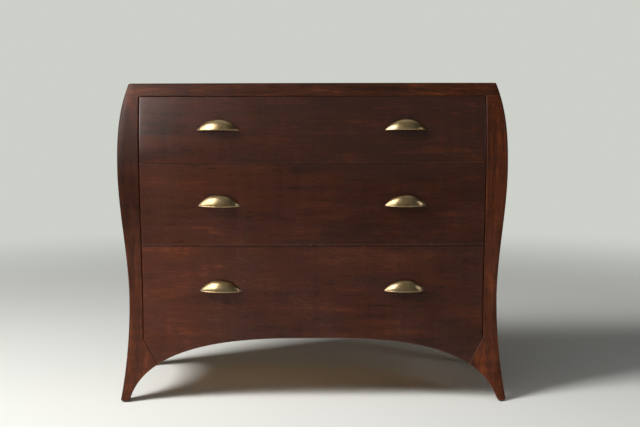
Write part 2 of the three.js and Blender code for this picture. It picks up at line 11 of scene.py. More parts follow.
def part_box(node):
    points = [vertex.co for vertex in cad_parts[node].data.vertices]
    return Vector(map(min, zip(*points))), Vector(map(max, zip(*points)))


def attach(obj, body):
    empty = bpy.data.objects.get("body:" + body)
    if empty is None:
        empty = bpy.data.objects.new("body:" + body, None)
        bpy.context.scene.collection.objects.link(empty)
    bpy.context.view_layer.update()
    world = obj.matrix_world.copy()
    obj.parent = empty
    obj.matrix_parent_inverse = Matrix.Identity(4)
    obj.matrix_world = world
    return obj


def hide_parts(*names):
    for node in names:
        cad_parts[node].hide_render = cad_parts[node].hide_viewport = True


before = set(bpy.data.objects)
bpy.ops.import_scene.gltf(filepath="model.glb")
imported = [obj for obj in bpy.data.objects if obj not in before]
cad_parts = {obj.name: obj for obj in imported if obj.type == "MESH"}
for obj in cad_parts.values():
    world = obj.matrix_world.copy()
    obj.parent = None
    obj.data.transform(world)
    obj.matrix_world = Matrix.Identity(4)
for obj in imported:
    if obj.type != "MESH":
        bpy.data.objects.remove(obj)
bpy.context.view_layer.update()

# Driving sizes of the chest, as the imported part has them.
CASE_DEPTH = 0.480
BULGE_WIDTH = 1.091
POST_WIDTH = 0.062
BULGE_LEVEL = 0.665
WAIST_LEVEL = 0.295
WAIST_INSET = 0.0228
TOP_INSET = 0.0315
TOP_LEAN = 0.084
FOOT_FLARE = 0.0035
FOOT_SPLAY = 0.053
FRONT_BOW = 0.015
FRONT_POST_DEPTH = 0.100
REAR_POST_DEPTH = 0.075
FOOT_WIDTH = 0.023
FOOT_DEPTH = 0.033
KNEE_LEVEL = 0.106
CANT_TOP = 0.1825
ARCH_HEIGHT = 0.183
SIDE_ARCH_HEIGHT = 0.165
ARCH_SPRING_DEPTH = 0.120
ARCH_POWER_ALONG = 2.74
ARCH_POWER_UP = 3.0
SIDE_PANEL_THICKNESS = 0.018
LINING_THICKNESS = 0.012
LAP_LENGTH = 0.014
TAIL_FLARE = 0.002
TAIL_WIDTH_SHARE = 0.7
TAIL_COUNTS = {"upper": 3, "middle": 4, "lower": 4}

# Clearances.
SEAT_GAP = 0.0003
TAIL_GAP = 0.0002
FRONT_SIDE_GAP = 0.0008
PULL_SEAT_GAP = 0.00045
# How far a cutter runs past what it cuts.
OVERRUN = 0.005

# Arrises, where two faces meet in a small round.
POST_ARRIS = 0.0025
CORNER_ARRIS = 0.009
FRONT_ARRIS = 0.0015
FRONT_END_ARRIS = 0.0045
TOP_ARRIS = 0.003
TOP_LOWER_ARRIS = 0.0018
# Over how far the lower arris of the top closes beside each post.
TOP_BLEND = 3 * TOP_LOWER_ARRIS
JOINT_ARRIS = 0.0003
FOOT_ARRIS = 0.0015
ARCH_ARRIS = 0.0025

# Cup pulls.
PULL_SPACING = 0.520
PULL_WIDTH = 0.118
PULL_HEIGHT = 0.033
PULL_DEPTH = 0.020
PULL_WALL = 0.0018
PULL_LIP = 0.002
PULL_LIP_HEIGHT = 0.003
PULL_BOSS_SPACING = 0.070
PULL_BOSS_LEVEL = 0.006
PULL_BOSS_RADIUS = 0.003
PULL_RISE_POWER = 0.85
PULL_REACH_POWER = 0.7
# How soon the lip and the wall reach their full thickness, from the ends of the bowl.
PULL_LIP_TAPER = 8
PULL_WALL_TAPER = 4
# How much of its pointed end each pull keeps.
PULL_END_SHARE = 0.985
# How far up its drawer front each pull stands.
PULL_RISE_SHARES = {"upper": 0.584, "middle": 0.562, "lower": 0.574}

# Slotted screws that hold the pulls, with a washer under each.
WASHER_RADIUS = 0.0055
WASHER_THICKNESS = 0.0009
SCREW_HEAD_RADIUS = 0.0036
SCREW_HEAD_HEIGHT = 0.002
SCREW_SLOT_WIDTH = 0.0009
SCREW_SLOT_DEPTH = 0.0011
SCREW_ARRIS = 0.0002
SCREW_DOME_TURN = 0.47 * math.pi
SCREW_DOME_POWER = 0.6
# Each screw stops with its slot at an angle of its own, worked out from where it is.
SLOT_TURN_ACROSS = 90
SLOT_TURN_UP = 40

# How finely the larger shapes are divided.
LEG_FOOT_STEPS = 26
LEG_BRACKET_STEPS = 16
LEG_POST_STEPS = 90
LEG_FRONT_STEPS = 8
PANEL_STEPS_BACK = 48
PANEL_STEPS_UP = 76
TOP_STEPS_ACROSS = 44
TOP_STEPS_UP = 10
FRONT_STEPS_ACROSS = 44
FRONT_STEPS_UP = 40
BRACKET_STEPS = 12
PULL_STEPS_ACROSS = 56
PULL_BOWL_STEPS = 16
PULL_LIP_STEPS = 8
BOSS_SIDES = 24
SCREW_SIDES = 32

# Edges that turn by more than this stay sharp.
SMOOTH_ANGLE = math.radians(33)
PULL_SMOOTH_ANGLE = math.radians(50)

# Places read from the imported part.
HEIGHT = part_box("top_panel")[1].z
TOP_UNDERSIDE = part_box("top_panel")[0].z
LEG_TOP = TOP_UNDERSIDE - SEAT_GAP
LEG_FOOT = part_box("front_leg_right")[0].z
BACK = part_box("rear_leg_right")[1].y
FULLEST_FRONT = BACK - CASE_DEPTH
FRONT_POST_BACK = FULLEST_FRONT + FRONT_POST_DEPTH
REAR_POST_FRONT = BACK - REAR_POST_DEPTH
LINING_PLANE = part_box("drawer_middle_front")[1].y
HALF_OPENING = BULGE_WIDTH / 2 - POST_WIDTH
FRONT_HALF = HALF_OPENING - FRONT_SIDE_GAP

DRAWERS = ("upper", "middle", "lower")
SIDES = {"left": -1, "right": 1}


def levels(node):
    """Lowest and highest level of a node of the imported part."""
    return [corner_point.z for corner_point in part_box(node)]


# The shape that the front and both sides share.

def ease(share, start, end, leaving, arriving):
    """A curve through two ends, with the rise that its slope at each end would make over its length."""
    squared = share * share
    cubed = squared * share
    rising = 3 * squared - 2 * cubed
    start_turn = cubed - 2 * squared + share
    end_turn = cubed - squared
    return start * (1 - rising) + end * rising + leaving * start_turn + arriving * end_turn


def inset(z):
    """How far the case is set in at one level, from its fullest part."""
    if z < WAIST_LEVEL:
        return ease(z / WAIST_LEVEL, -FOOT_FLARE, WAIST_INSET, FOOT_SPLAY, 0)
    if z < BULGE_LEVEL:
        return ease((z - WAIST_LEVEL) / (BULGE_LEVEL - WAIST_LEVEL), WAIST_INSET, 0, 0, 0)
    return ease((z - BULGE_LEVEL) / (HEIGHT - BULGE_LEVEL), 0, TOP_INSET, 0, TOP_LEAN)


def side_face(z):
    return BULGE_WIDTH / 2 - inset(z)


def front_face(x, z):
    return FULLEST_FRONT + inset(z) + FRONT_BOW * (x / HALF_OPENING) ** 2


def arch_loss(z, height):
    """How much of its width at the springing an arch has lost at one level, as a power of its width."""
    return ((z + ARCH_SPRING_DEPTH) / (height + ARCH_SPRING_DEPTH)) ** ARCH_POWER_UP


def arch_half(z, half_span, height):
    """Half the width of an arch at one level."""
    return half_span * ((1 - arch_loss(z, height)) / (1 - arch_loss(0, height))) ** (1 / ARCH_POWER_ALONG)


def arch_level(distance, half_span, height):
    """Level of an arch at one distance from its middle."""
    left = (1 - arch_loss(0, height)) * min(abs(distance) / half_span, 1) ** ARCH_POWER_ALONG
    return (height + ARCH_SPRING_DEPTH) * (1 - left) ** (1 / ARCH_POWER_UP) - ARCH_SPRING_DEPTH


# Each arch: half its span on the floor, and its height.
FRONT_ARCH = side_face(0) - FOOT_WIDTH, ARCH_HEIGHT
FOOT_FRONT = front_face(side_face(0), 0)
SIDE_ARCH_FRONT = FOOT_FRONT + FOOT_DEPTH
SIDE_ARCH_BACK = BACK - FOOT_DEPTH
SIDE_ARCH_MIDDLE = (SIDE_ARCH_FRONT + SIDE_ARCH_BACK) / 2
SIDE_ARCH = (SIDE_ARCH_BACK - SIDE_ARCH_FRONT) / 2, SIDE_ARCH_HEIGHT
KNEE = arch_half(KNEE_LEVEL, *FRONT_ARCH)
CANT_SLOPE = (CANT_TOP - KNEE_LEVEL) / (HALF_OPENING - KNEE)


def leg_inner(z):
    """Inner edge of a front leg, seen from the front: post, bracket, then arch."""
    if z >= CANT_TOP:
        return HALF_OPENING
    if z < KNEE_LEVEL:
        return arch_half(z, *FRONT_ARCH)
    return KNEE + (z - KNEE_LEVEL) / CANT_SLOPE


def bracket_level(x):
    """Lower edge of the lowest drawer front where it follows the bracket, a gap away from it."""
    gap_up = FRONT_SIDE_GAP * math.hypot(1, CANT_SLOPE)
    return KNEE_LEVEL + gap_up + (abs(x) - KNEE) * CANT_SLOPE


def lower_edge(x):
    return max(arch_level(x, *FRONT_ARCH), bracket_level(x))


# Mesh building.

def spread(start, end, steps):
    return [start + (end - start) * step / steps for step in range(steps + 1)]


def round_steps(radius, steps):
    """Points over a quarter round: how far in from the edge, and how far the face has fallen there."""
    turns = spread(0, math.pi / 2, steps)
    return [(radius * (1 - math.cos(turn)), radius * (1 - math.sin(turn))) for turn in turns]


def loft(rings):
    """A closed skin through rings of points, stacked upwards, each anticlockwise seen from above."""
    count = len(rings[0])
    faces = []
    for low in range(0, (len(rings) - 1) * count, count):
        for place in range(count):
            following = (place + 1) % count
            faces.append((low + place, low + following, low + count + following, low + count + place))
    last = (len(rings) - 1) * count
    faces.append(tuple(reversed(range(count))))
    faces.append(tuple(range(last, last + count)))
    return [point for ring in rings for point in ring], faces


def slab(outer, inner):
    """A closed skin between two sheets. Seen from outside, the columns of the first run to the right."""
    columns = len(outer)
    rows = len(outer[0])
    behind = columns * rows

    def at(column, row):
        return column * rows + row

    def wall(start, end):
        faces.append((end, start, start + behind, end + behind))

    faces = []
    for column in range(columns - 1):
        for row in range(rows - 1):
            corners = (at(column, row), at(column + 1, row), at(column + 1, row + 1), at(column, row + 1))
            faces.append(corners)
            faces.append(tuple(corner + behind for corner in reversed(corners)))
    for column in range(columns - 1):
        wall(at(column, 0), at(column + 1, 0))
        wall(at(column + 1, rows - 1), at(column, rows - 1))
    for row in range(rows - 1):
        wall(at(columns - 1, row), at(columns - 1, row + 1))
        wall(at(0, row + 1), at(0, row))
    points = [point for sheet in (outer, inner) for column in sheet for point in column]
    return points, faces


def prism(outline, start, end):
    """A closed skin over an outline in Y and Z, drawn out along X. Seen from +X it runs anticlockwise."""
    return loft([[(x, y, z) for y, z in outline] for x in (start, end)])


def block(low, high):
    outline = [(low[1], low[2]), (high[1], low[2]), (high[1], high[2]), (low[1], high[2])]
    return prism(outline, low[0], high[0])


def mirrored(skin):
    points, faces = skin
    return [(-x, y, z) for x, y, z in points], [tuple(reversed(face)) for face in faces]


def turned(radii_and_levels, sides):
    """A turned skin round the Z axis, from the lowest ring to the highest."""
    turns = spread(0, 2 * math.pi, sides)[:-1]
    return loft([
        [(radius * math.cos(turn), radius * math.sin(turn), level) for turn in turns]
        for radius, level in radii_and_levels
    ])


def new_object(name, data):
    thing = bpy.data.objects.new(name, data)
    bpy.context.scene.collection.objects.link(thing)
    return thing


def mesh_from(name, skin):
    mesh = bpy.data.meshes.new(name)
    points, faces = skin
    mesh.from_pydata([tuple(point) for point in points], [], faces)
    mesh.update()
    return mesh


def cut(mesh, cutters):
    """The mesh with the cutters taken out of it, one after another."""
    worked_on = new_object("worked_on", mesh)
    held = [worked_on]
    for cutter in cutters:
        step = worked_on.modifiers.new("cut", "BOOLEAN")
        step.solver = "MANIFOLD"
        step.object = new_object("cutter", mesh_from("cutter", cutter))
        held.append(step.object)
    worked = bpy.data.meshes.new_from_object(worked_on.evaluated_get(bpy.context.evaluated_depsgraph_get()))
    for item in held:
        bpy.data.objects.remove(item)
    return worked


def smooth(mesh, angle=SMOOTH_ANGLE):
    mesh.shade_smooth()
    mesh.set_sharp_from_angle(angle=angle)


def even_shading(piece):
    """Large faces keep their own slope right up to the rounds beside them."""
    step = piece.modifiers.new("even shading", "WEIGHTED_NORMAL")
    step.keep_sharp = True
    step.weight = 100


def add_piece(name, mesh, material, body, replaces=(), place=Matrix()):
    piece = new_object(name, mesh)
    piece.matrix_world = place
    mesh.materials.clear()
    mesh.materials.append(material)
    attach(piece, body)
    if replaces:
        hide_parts(*replaces)
    return piece


# Material effects, each a node group that several materials share.

class Nodes:
    """Adds and links the nodes of one tree."""

    def __init__(self, tree):
        self.tree = tree

    def add(self, kind, settings=(), **inputs):
        node = self.tree.nodes.new(kind)
        for name, value in dict(settings).items():
            setattr(node, name, value)
        for name, value in inputs.items():
            self.feed(node, name.replace("_", " "), value)
        return node

    def feed(self, node, name, value):
        """Sets or links one input of a node, named or given by its place."""
        sockets = node.inputs
        if isinstance(name, str):
            socket = next(socket for socket in sockets if socket.enabled and socket.name == name)
        else:
            socket = sockets[name]
        if isinstance(value, bpy.types.NodeSocket):
            self.tree.links.new(value, socket)
        else:
            socket.default_value = value

    def fill(self, node, values):
        """Feeds the first inputs of a node, in their order."""
        for place, value in enumerate(values):
            self.feed(node, place, value)
        return node

    def math(self, operation, *values):
        return self.fill(self.add("ShaderNodeMath", {"operation": operation}), values).outputs[0]

    def product(self, first, *values):
        for value in values:
            first = self.math("MULTIPLY", first, value)
        return first

    def vector_math(self, operation, *values):
        node = self.fill(self.add("ShaderNodeVectorMath", {"operation": operation}), values)
        return node.outputs["Value" if operation in ("DOT_PRODUCT", "LENGTH") else "Vector"]

    def remap(self, value, low, high, new_low=0.0, new_high=1.0):
        node = self.add("ShaderNodeMapRange", {"interpolation_type": "SMOOTHSTEP"}, Value=value,
                        From_Min=low, From_Max=high, To_Min=new_low, To_Max=new_high)
        return node.outputs[0]

    def mix(self, share, first, second, blend="MIX"):
        node = self.add("ShaderNodeMix", {"data_type": "RGBA", "blend_type": blend})
        for place, value in ((0, share), (6, first), (7, second)):
            self.feed(node, place, value)
        return node.outputs[2]

    def noise(self, place, scale, detail, roughness):
        node = self.add("ShaderNodeTexNoise", Vector=place, Scale=scale, Detail=detail, Roughness=roughness)
        return node.outputs["Fac"]


def new_group(name, inputs, outputs):
    """An empty shader group with named sockets: its nodes, its own inputs and where its outputs go."""
    tree = bpy.data.node_groups.new(name, "ShaderNodeTree")
    for direction, sockets in (("INPUT", inputs), ("OUTPUT", outputs)):
        for socket_name, kind in sockets.items():
            tree.interface.new_socket(socket_name, in_out=direction, socket_type="NodeSocket" + kind)
    nodes = Nodes(tree)
    entry = tree.nodes.new("NodeGroupInput")
    leave = tree.nodes.new("NodeGroupOutput")
    return nodes, entry.outputs, leave


# Each part of the figure of the wood: how fine it is along the board and across it, and how rough.
WAVER = {"along": 2.2, "across": 7.0, "detail": 2.0, "roughness": 0.55}
PATCHES = {"along": 5.0, "across": 19.0, "detail": 3.0, "roughness": 0.55}
STREAKS = {"along": 4.0, "across": 75.0, "detail": 4.0, "roughness": 0.55}
FINE_LINES = {"along": 16.0, "across": 420.0, "detail": 4.0, "roughness": 0.65}
RIBBON = {"along": 55.0, "across": 5.0, "detail": 2.0, "roughness": 0.5}
LEANINGS = {"along": 7.0, "across": 30.0, "detail": 3.0, "roughness": 0.5}
PORES = {"along": 110.0, "across": 1900.0, "detail": 2.0, "roughness": 0.5}
# How far each board is shifted in the figure, and how far the figure wanders.
BOARD_SHIFT = (1.0, 0.37, 0.71)
SWAY = (0.0, 0.05, 0.03)
# Nearly all of a soft pattern lies between these values, and the pores are the peaks of theirs.
PATTERN_RANGE = (0.3, 0.7)
PORE_RANGE = (0.58, 0.7)
FIGURE_STRENGTH = 1.6
FINE_SHARE = 1.5
PORE_DEPTH = 0.6
TOWARDS_PLUM = (0.86, 0.92, 1.25, 1.0)
TOWARDS_ORANGE = (1.14, 1.06, 0.72, 1.0)


def wood_group():
    """Grain with X along the board.

    Patches that lean to orange or to plum, then streaks, fine lines, ribbon and pores.
    """
    nodes, given, leave = new_group(
        "wood grain",
        {"Place": "Vector", "Board": "Float", "Dark": "Color", "Middle": "Color", "Light": "Color",
         "Streaks": "Float", "Patches": "Float", "Ribbon": "Float", "Pores": "Float"},
        {"Color": "Color", "Height": "Float", "Pore Mask": "Float"},
    )

    def figure(where, along, across, detail, roughness):
        scaled = nodes.vector_math("MULTIPLY", where, (along, across, across))
        return nodes.noise(scaled, 1.0, detail, roughness)

    shift = nodes.vector_math("MULTIPLY", given["Board"], BOARD_SHIFT)
    place = nodes.vector_math("ADD", given["Place"], shift)
    waver = nodes.math("SUBTRACT", figure(place, **WAVER), 0.5)
    swayed = nodes.vector_math("ADD", place, nodes.vector_math("MULTIPLY", waver, SWAY))
    fine = figure(swayed, **FINE_LINES)
    parts = (
        (figure(swayed, **PATCHES), given["Patches"]),
        (figure(swayed, **STREAKS), given["Streaks"]),
        (fine, nodes.product(given["Streaks"], FINE_SHARE)),
        (figure(swayed, **RIBBON), given["Ribbon"]),
    )
    tone = 0.5
    for pattern, weight in parts:
        share = nodes.product(nodes.math("SUBTRACT", pattern, 0.5), weight, FIGURE_STRENGTH)
        tone = nodes.math("ADD", tone, share)
    lower_mix = nodes.mix(nodes.remap(tone, 0.0, 0.5), given["Dark"], given["Middle"])
    colour = nodes.mix(nodes.remap(tone, 0.5, 1.0), lower_mix, given["Light"])
    lean = nodes.remap(figure(swayed, **LEANINGS), *PATTERN_RANGE)
    leaning = nodes.mix(lean, TOWARDS_PLUM, TOWARDS_ORANGE)
    colour = nodes.mix(given["Patches"], colour, nodes.mix(1.0, colour, leaning, "MULTIPLY"))
    pores = nodes.remap(figure(swayed, **PORES), *PORE_RANGE)
    pore_mask = nodes.product(pores, given["Pores"])
    colour = nodes.mix(nodes.product(pore_mask, PORE_DEPTH), colour, given["Dark"])
    height = nodes.math("SUBTRACT", nodes.product(fine, 0.5), pore_mask)
    nodes.feed(leave, "Color", colour)
    nodes.feed(leave, "Height", height)
    nodes.feed(leave, "Pore Mask", pore_mask)
    return nodes.tree


# How far an edge has to turn to take the worn colour, and how that colour comes and goes along it; on the
# mahogany the worn colour is partly painted light.
WORN_TURN = (0.99, 0.85)
WORN_BREAKS = (0.25, 0.6)


def edge_group():
    """Where the finish has rubbed thin along an arris; on the mahogany its light colour also paints light
    into shaded grooves.
    """
    nodes, given, leave = new_group(
        "edge wear and painted light",
        {"Place": "Vector", "Color": "Color", "Worn Color": "Color", "Amount": "Float", "Reach": "Float"},
        {"Color": "Color"},
    )
    bevel = nodes.add("ShaderNodeBevel", {"samples": 4}, Radius=given["Reach"])
    geometry = nodes.add("ShaderNodeNewGeometry")
    facing = nodes.vector_math("DOT_PRODUCT", bevel.outputs[0], geometry.outputs["Normal"])
    edge = nodes.remap(facing, *WORN_TURN)
    breaks = nodes.remap(nodes.noise(given["Place"], 60.0, 4.0, 0.6), *WORN_BREAKS)
    worn = nodes.product(edge, breaks, given["Amount"])
    nodes.feed(leave, "Color", nodes.mix(worn, given["Color"], given["Worn Color"]))
    return nodes.tree


def variation_group():
    """Soft unevenness of a surface at two sizes, for gloss and tarnish."""
    nodes, given, leave = new_group(
        "uneven finish",
        {"Place": "Vector", "Broad Scale": "Float", "Fine Scale": "Float"},
        {"Broad": "Float", "Fine": "Float"},
    )
    nodes.feed(leave, "Broad", nodes.noise(given["Place"], given["Broad Scale"], 3.0, 0.5))
    nodes.feed(leave, "Fine", nodes.noise(given["Place"], given["Fine Scale"], 4.0, 0.6))
    return nodes.tree


WOOD_GRAIN = wood_group()
EDGE_WEAR_AND_PAINTED_LIGHT = edge_group()
UNEVEN = variation_group()

# How a board's own directions lie in the chest: X of the grain runs along the board.
GRAIN_TURNS = {"across": (0, 0, 0), "up": (0, math.pi / 2, 0), "back": (0, 0, math.pi / 2)}


def rgb(red, green, blue):
    """A colour as a screen shows it, made linear."""
    def linear(value):
        value /= 255
        return value / 12.92 if value <= 0.04045 else ((value + 0.055) / 1.055) ** 2.4
    return (linear(red), linear(green), linear(blue), 1.0)


def clear_nodes(owner):
    """The nodes of a material or a world, with none in it yet."""
    owner.use_nodes = True
    owner.node_tree.nodes.clear()
    return Nodes(owner.node_tree)


def new_material(name):
    material = bpy.data.materials.new(name)
    nodes = clear_nodes(material)
    shader = nodes.add("ShaderNodeBsdfPrincipled")
    nodes.add("ShaderNodeOutputMaterial", Surface=shader.outputs[0])
    return material, nodes, shader


def finish_shader(nodes, shader, colour, roughness, height, bump):
    relief = nodes.add("ShaderNodeBump", Strength=1.0, Distance=bump, Height=height)
    nodes.feed(shader, "Base Color", colour)
    nodes.feed(shader, "Roughness", roughness)
    nodes.feed(shader, "Normal", relief.outputs[0])


def place_in(nodes, grain="across"):
    """The point of the surface, turned so that X runs along the grain."""
    given = nodes.add("ShaderNodeTexCoord").outputs["Object"]
    turned_place = nodes.add("ShaderNodeMapping", Vector=given, Rotation=GRAIN_TURNS[grain])
    return turned_place.outputs[0]


def use_group(nodes, tree, **inputs):
    return nodes.add("ShaderNodeGroup", {"node_tree": tree}, **inputs).outputs


# Colours of each wood: its dark streaks, its ground and its light streaks.
RED = rgb(38, 17, 8), rgb(61, 28, 13), rgb(91, 43, 19)
TOP = rgb(32, 15, 8), rgb(53, 26, 14), rgb(84, 42, 21)
BROWN = rgb(30, 14, 8), rgb(50, 23, 13), rgb(75, 35, 18)
LINING = rgb(148, 112, 72), rgb(184, 148, 104), rgb(208, 176, 132)
BACK_WOOD = rgb(84, 56, 38), rgb(112, 78, 54), rgb(136, 98, 68)
# Rubbed arrises of the mahogany, made light enough to also paint light into the shaded grooves beside the
# drawer fronts and posts.
WORN_EDGE_AND_PAINTED_LIGHT = rgb(142, 88, 60)
BRASS_CLEAN, BRASS_BROWNED, BRASS_WORN = rgb(193, 168, 130), rgb(177, 148, 103), rgb(236, 222, 200)
GLIDE_DARK, GLIDE_LIGHT = rgb(38, 33, 30), rgb(52, 46, 42)

PORE_AMOUNT = 0.4
PORE_DULLNESS = 0.15
GLOSS_SPREAD = 0.03
BROWNED_RANGE = (0.35, 0.7)
BRASS_ROUGHNESS = (0.25, 0.31)
GLIDE_ROUGHNESS = (0.5, 0.65)
LACQUERED_BUMP = 0.00005
BARE_FINISH = {"specular": 0.3, "wear": 0.1, "bump": 0.00012}


def wood(name, grain, board, colours, streaks, patches, wear, ribbon=0.0, roughness=0.23, specular=0.5,
         worn=None, bump=LACQUERED_BUMP, painted_light_and_shade=()):
    """A board with its finish.

    Each painted tone is an axis, two places on it and how much the colour is multiplied by at each: painted
    light and shade.
    """
    dark, middle, light = colours
    material, nodes, shader = new_material(name)
    place = place_in(nodes, grain)
    figure = use_group(nodes, WOOD_GRAIN, Place=place, Board=board, Dark=dark, Middle=middle, Light=light,
                       Streaks=streaks, Patches=patches, Ribbon=ribbon, Pores=PORE_AMOUNT)
    edge = use_group(nodes, EDGE_WEAR_AND_PAINTED_LIGHT, Place=place, Color=figure["Color"], Worn_Color=worn or light,
                     Amount=wear, Reach=0.002)
    colour = edge["Color"]
    # Painted light and shade: the colour multiplied up or down along one axis.
    for axis, start, end, first, last in painted_light_and_shade:
        given = nodes.add("ShaderNodeTexCoord").outputs["Object"]
        along = nodes.add("ShaderNodeSeparateXYZ", Vector=given).outputs[axis]
        colour = nodes.mix(1.0, colour, nodes.remap(along, start, end, first, last), "MULTIPLY")
    broad = use_group(nodes, UNEVEN, Place=place, Broad_Scale=7.0, Fine_Scale=140.0)["Broad"]
    rough = nodes.remap(broad, *PATTERN_RANGE, roughness - GLOSS_SPREAD, roughness + GLOSS_SPREAD)
    dulled = nodes.product(figure["Pore Mask"], PORE_DULLNESS)
    finish_shader(nodes, shader, colour, nodes.math("ADD", rough, dulled), figure["Height"], bump)
    nodes.feed(shader, "Specular IOR Level", specular)
    return material


def aged_brass(name):
    """Softly polished brass, browned where hands and cloths do not reach."""
    material, nodes, shader = new_material(name)
    place = place_in(nodes)
    uneven = use_group(nodes, UNEVEN, Place=place, Broad_Scale=45.0, Fine_Scale=700.0)
    colour = nodes.mix(nodes.remap(uneven["Broad"], *BROWNED_RANGE), BRASS_CLEAN, BRASS_BROWNED)
    edge = use_group(nodes, EDGE_WEAR_AND_PAINTED_LIGHT, Place=place, Color=colour, Worn_Color=BRASS_WORN,
                     Amount=0.8, Reach=0.0012)
    rough = nodes.remap(uneven["Fine"], *PATTERN_RANGE, *BRASS_ROUGHNESS)
    finish_shader(nodes, shader, edge["Color"], rough, uneven["Fine"], bump=0.00002)
    nodes.feed(shader, "Metallic", 1.0)
    return material


def glide_plastic(name):
    material, nodes, shader = new_material(name)
    uneven = use_group(nodes, UNEVEN, Place=place_in(nodes), Broad_Scale=60.0, Fine_Scale=900.0)
    colour = nodes.mix(uneven["Broad"], GLIDE_DARK, GLIDE_LIGHT)
    rough = nodes.remap(uneven["Fine"], *PATTERN_RANGE, *GLIDE_ROUGHNESS)
    finish_shader(nodes, shader, colour, rough, uneven["Fine"], bump=0.00003)
    return material


def solid_mahogany(name, grain, board, painted_light_and_shade=()):
    return wood(name, grain, board, RED, streaks=0.8, patches=0.45, ribbon=0.4, roughness=0.34,
                specular=0.22, worn=WORN_EDGE_AND_PAINTED_LIGHT, wear=0.9, painted_light_and_shade=painted_light_and_shade)


def top_mahogany(name, grain, board, painted_light_and_shade=()):
    return wood(name, grain, board, TOP, streaks=0.8, patches=0.5, ribbon=0.3, roughness=0.34,
                specular=0.2, worn=WORN_EDGE_AND_PAINTED_LIGHT, wear=0.4, painted_light_and_shade=painted_light_and_shade)


def veneer(name, grain, board, painted_light_and_shade=()):
    return wood(name, grain, board, BROWN, streaks=0.43, patches=0.6, ribbon=0.22, worn=WORN_EDGE_AND_PAINTED_LIGHT,
                wear=0.9, painted_light_and_shade=painted_light_and_shade)


def lining(name, grain, board):
    return wood(name, grain, board, LINING, streaks=0.6, patches=0.4, roughness=0.62, **BARE_FINISH)


def drawer_plywood(name, grain, board):
    return wood(name, grain, board, LINING, streaks=0.35, patches=0.8, roughness=0.66, **BARE_FINISH)


def back_plywood(name, grain, board):
    return wood(name, grain, board, BACK_WOOD, streaks=0.4, patches=0.9, roughness=0.6, **BARE_FINISH)


# Where each board is cut from the figure of the wood, so that no two look the same.
TOP_BOARD = 3.1
CASE_BOARDS = {"front_leg": 14.3, "rear_leg": 13.3, "side_panel": 15.3}
CASE_BOARD_STEP = 2
FRONT_BOARD = 11.7
FRONT_BOARD_STEP = 4.3

# Painted light and shade: where the colour of a board is multiplied up or down along one axis to stand in for
# how the light falls on it.
# Painted light and shade on the front legs: lighter at each foot, as if lit by the bright floor, then painted
# shade and light up each post, the left post darkest at mid height.
LEG_PAINTED_LIGHT_AND_SHADE = {
    "left": (("Z", 0.02, 0.16, 1.3, 1.0), ("Z", 0.2, 0.66, 1.15, 0.45), ("Z", 0.66, 0.9, 1.0, 1.6)),
    "right": (("Z", 0.02, 0.16, 1.15, 1.0), ("Z", 0.2, 0.5, 1.25, 1.0), ("Z", 0.6, 0.9, 1.2, 1.08)),
}
# Painted light from the left: each drawer front is lighter at its left end and darker towards the right, the
# lowest front most of all.
DRAWER_PAINTED_LIGHT_AND_SHADE = {
    "upper": (("X", -0.4, 0.0, 1.15, 0.85),),
    "middle": (("X", -0.45, 0.2, 1.5, 0.92),),
    "lower": (("X", -0.5, -0.1, 2.0, 1.25), ("X", 0.1, 0.5, 1.0, 0.88)),
}
# Painted light on the top's edge: lighter at the far left end, darker just beyond it, and lighter again from
# the middle rightwards.
TOP_PAINTED_LIGHT_AND_SHADE = (("X", -0.55, -0.38, 1.25, 0.9), ("X", -0.35, 0.1, 1.0, 1.15))
# Painted shade and light at the joints between the drawers: what the colour is multiplied by at the top and
# bottom edge of each front. Darker at a top edge is painted shade under the front above it, and lighter at a
# bottom edge is a painted reflection of the floor.
JOINT_PAINTED_SHADE_AND_LIGHT = {"upper": (1.0, 1.12), "middle": (0.75, 1.28), "lower": (0.45, 1.0)}
JOINT_REACH = 0.007

BRASS = aged_brass("aged brass")
GLIDE = glide_plastic("glide plastic")


# Pieces of the case.

LEG_LEVELS = (
    [LEG_FOOT + inward for inward, _ in round_steps(FOOT_ARRIS, 3)]
    + spread(LEG_FOOT + FOOT_ARRIS, KNEE_LEVEL, LEG_FOOT_STEPS)[1:]
    + spread(KNEE_LEVEL, CANT_TOP, LEG_BRACKET_STEPS)[1:]
    + spread(CANT_TOP, LEG_TOP - JOINT_ARRIS, LEG_POST_STEPS)[1:]
    + [LEG_TOP]
)


def leg_draw_in(z):
    """How far a leg's skin is drawn in by the rounds at its foot and at its top."""
    if z < LEG_FOOT + FOOT_ARRIS:
        up = 1 - (z - LEG_FOOT) / FOOT_ARRIS
        return FOOT_ARRIS * (1 - math.sqrt(max(0, 1 - up * up)))
    return JOINT_ARRIS if z == LEG_TOP else 0


# The corners of a ring in its order: from each, the way back along one edge and on along the next.
BACK_LEFT = (1, 0), (0, -1)
FRONT_LEFT = (0, 1), (1, 0)
FRONT_RIGHT = (-1, 0), (0, 1)
BACK_RIGHT = (0, -1), (-1, 0)


def corner(x, y, z, edges, radius, steps=5):
    """Points round a corner, from one edge to the next."""
    arriving, leaving = edges
    return [
        (x + arriving[0] * along + leaving[0] * beside, y + arriving[1] * along + leaving[1] * beside, z)
        for beside, along in round_steps(radius, steps)
    ]


